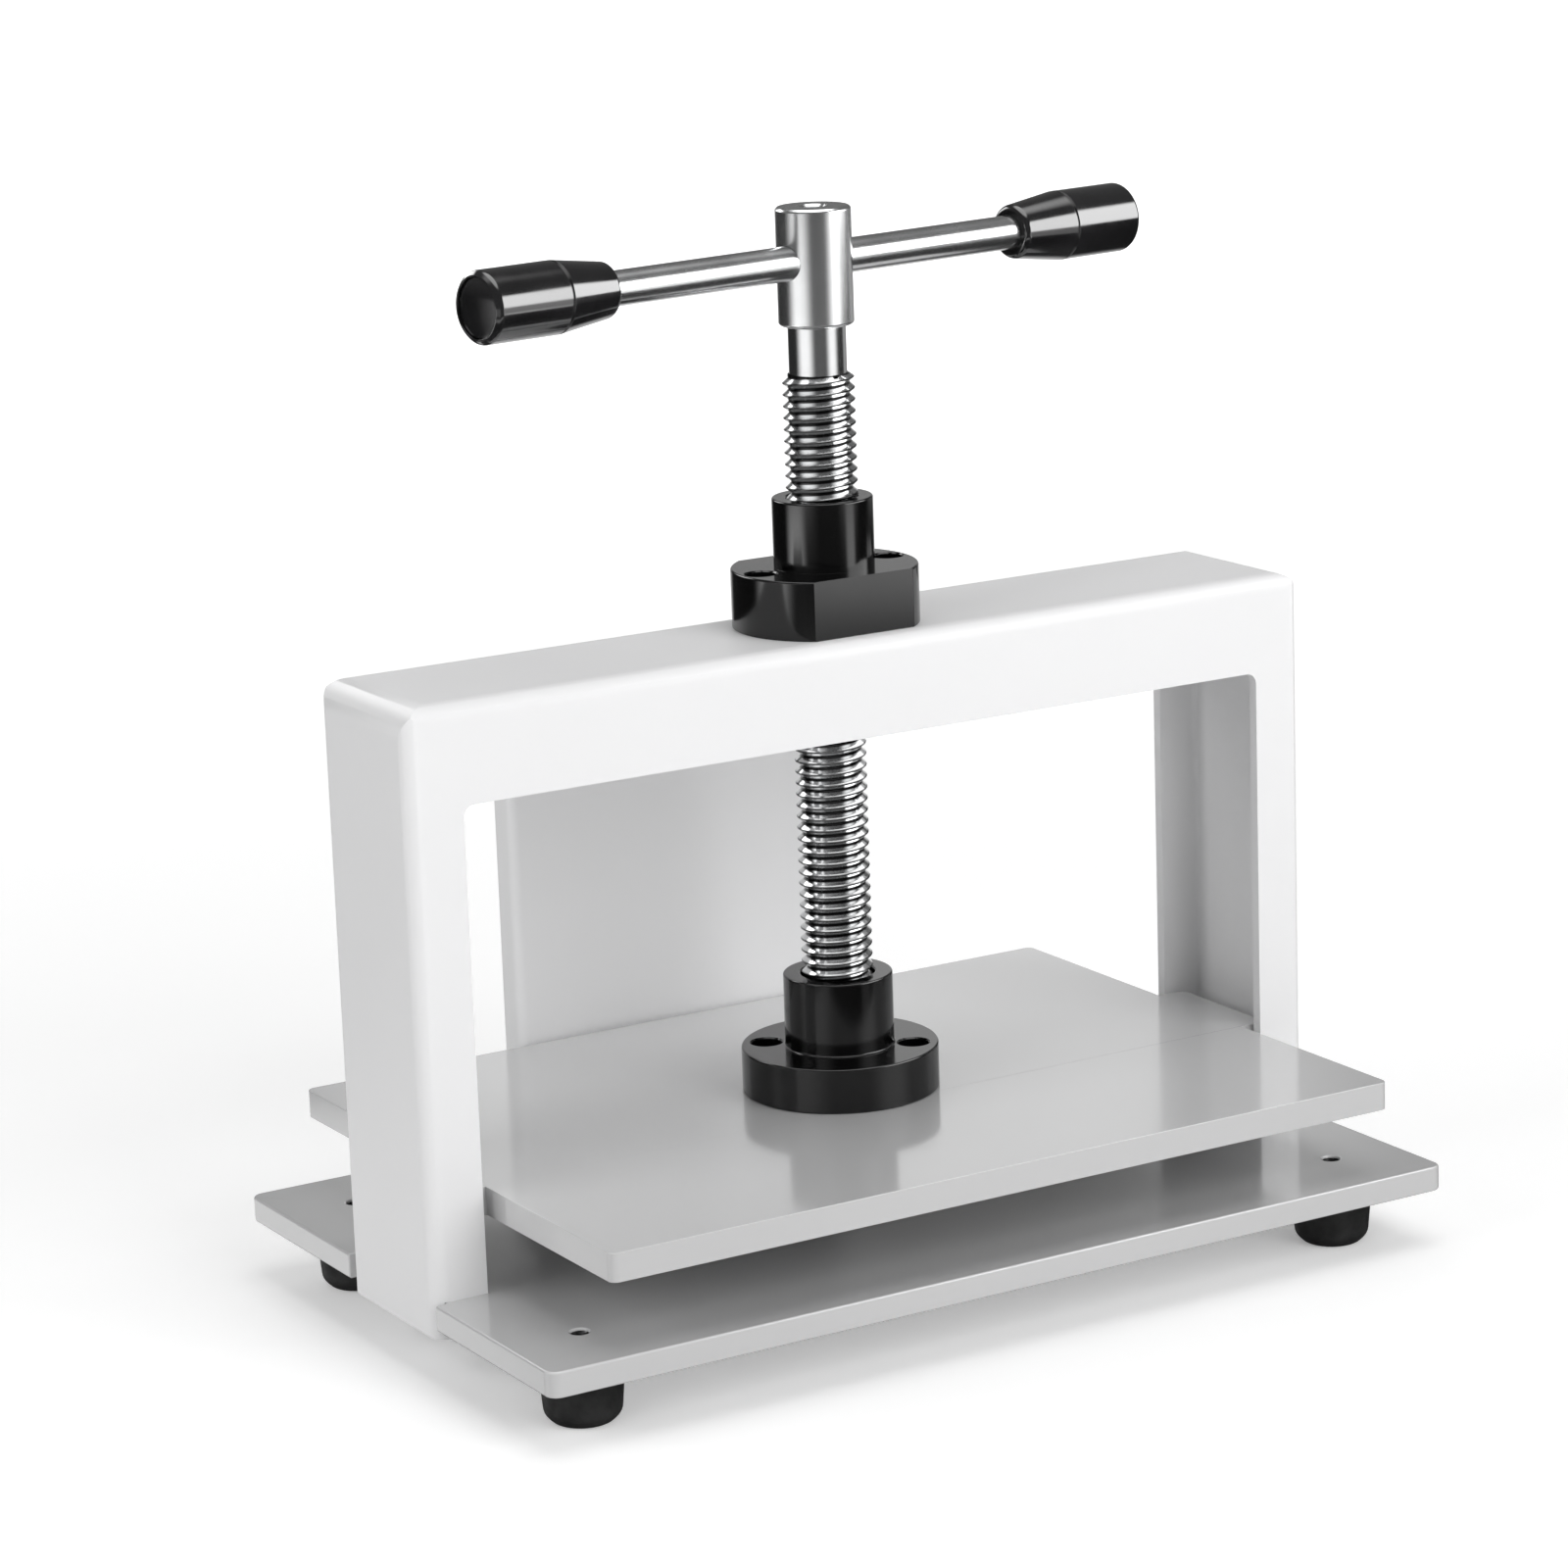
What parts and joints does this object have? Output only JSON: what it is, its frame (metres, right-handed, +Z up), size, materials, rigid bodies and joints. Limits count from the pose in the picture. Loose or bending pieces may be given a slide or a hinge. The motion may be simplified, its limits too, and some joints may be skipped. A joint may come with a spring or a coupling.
{
  "type": "copying press",
  "caption": "Bench screw press: a white sheet-metal portal holds a nut, and a tee-handled screw drives a flat plate down on paper lying on a rubber-footed base.",
  "frame": {"origin": "middle of the footprint, on the surface that the feet stand on", "axes": "+Z up along the screw, +X along the base's length, -Y towards the front"},
  "size_m": [0.358, 0.239, 0.3755],
  "materials": {
    "white_paint": "gloss powder coat",
    "black_rubber": "matte",
    "zinc_steel": "zinc plated",
    "black_oxide": "satin black",
    "yellow_brass": "turned",
    "bright_steel": "polished",
    "black_plastic": "gloss"
  },
  "bodies": {
    "stand": {"base_plate": "white_paint", "rubber_feet": "black_rubber", "foot_washers": "zinc_steel", "foot_screws": "zinc_steel", "frame": "white_paint", "frame_washers": "zinc_steel", "frame_bolts": "zinc_steel", "top_nut": "black_oxide", "nut_screws": "black_oxide", "nut_washers": "zinc_steel", "nut_hex_nuts": "zinc_steel", "rear_stop": "white_paint", "rear_stop_screws": "zinc_steel"},
    "platen": {"pressing_plate": "white_paint", "screw_seat": "black_oxide", "seat_screws": "black_oxide", "thrust_washer": "yellow_brass"},
    "screw": {"lead_screw": "bright_steel", "retaining_collar": "zinc_steel", "collar_screw": "zinc_steel", "tee_head": "bright_steel", "head_screw": "zinc_steel", "handle_rod": "bright_steel", "grip_left": "black_plastic", "grip_right": "black_plastic", "grip_cap_left": "black_plastic", "grip_cap_right": "black_plastic"}
  },
  "joints": [
    {"name": "plate_slide", "type": "slide", "parent": "stand", "child": "platen", "axis": [0, 0, 1], "range_m": [-0.0246, 0.1051]},
    {"name": "screw_turn", "type": "hinge", "parent": "platen", "child": "screw", "pos_m": [0, -0.0065, 0.2], "axis": [0, 0, 1], "range_deg": [-2205, 9450]}
  ],
  "couplings": [
    {"joint": "plate_slide", "follows": "screw_turn", "m_per_rad": 0.00063662}
  ]
}
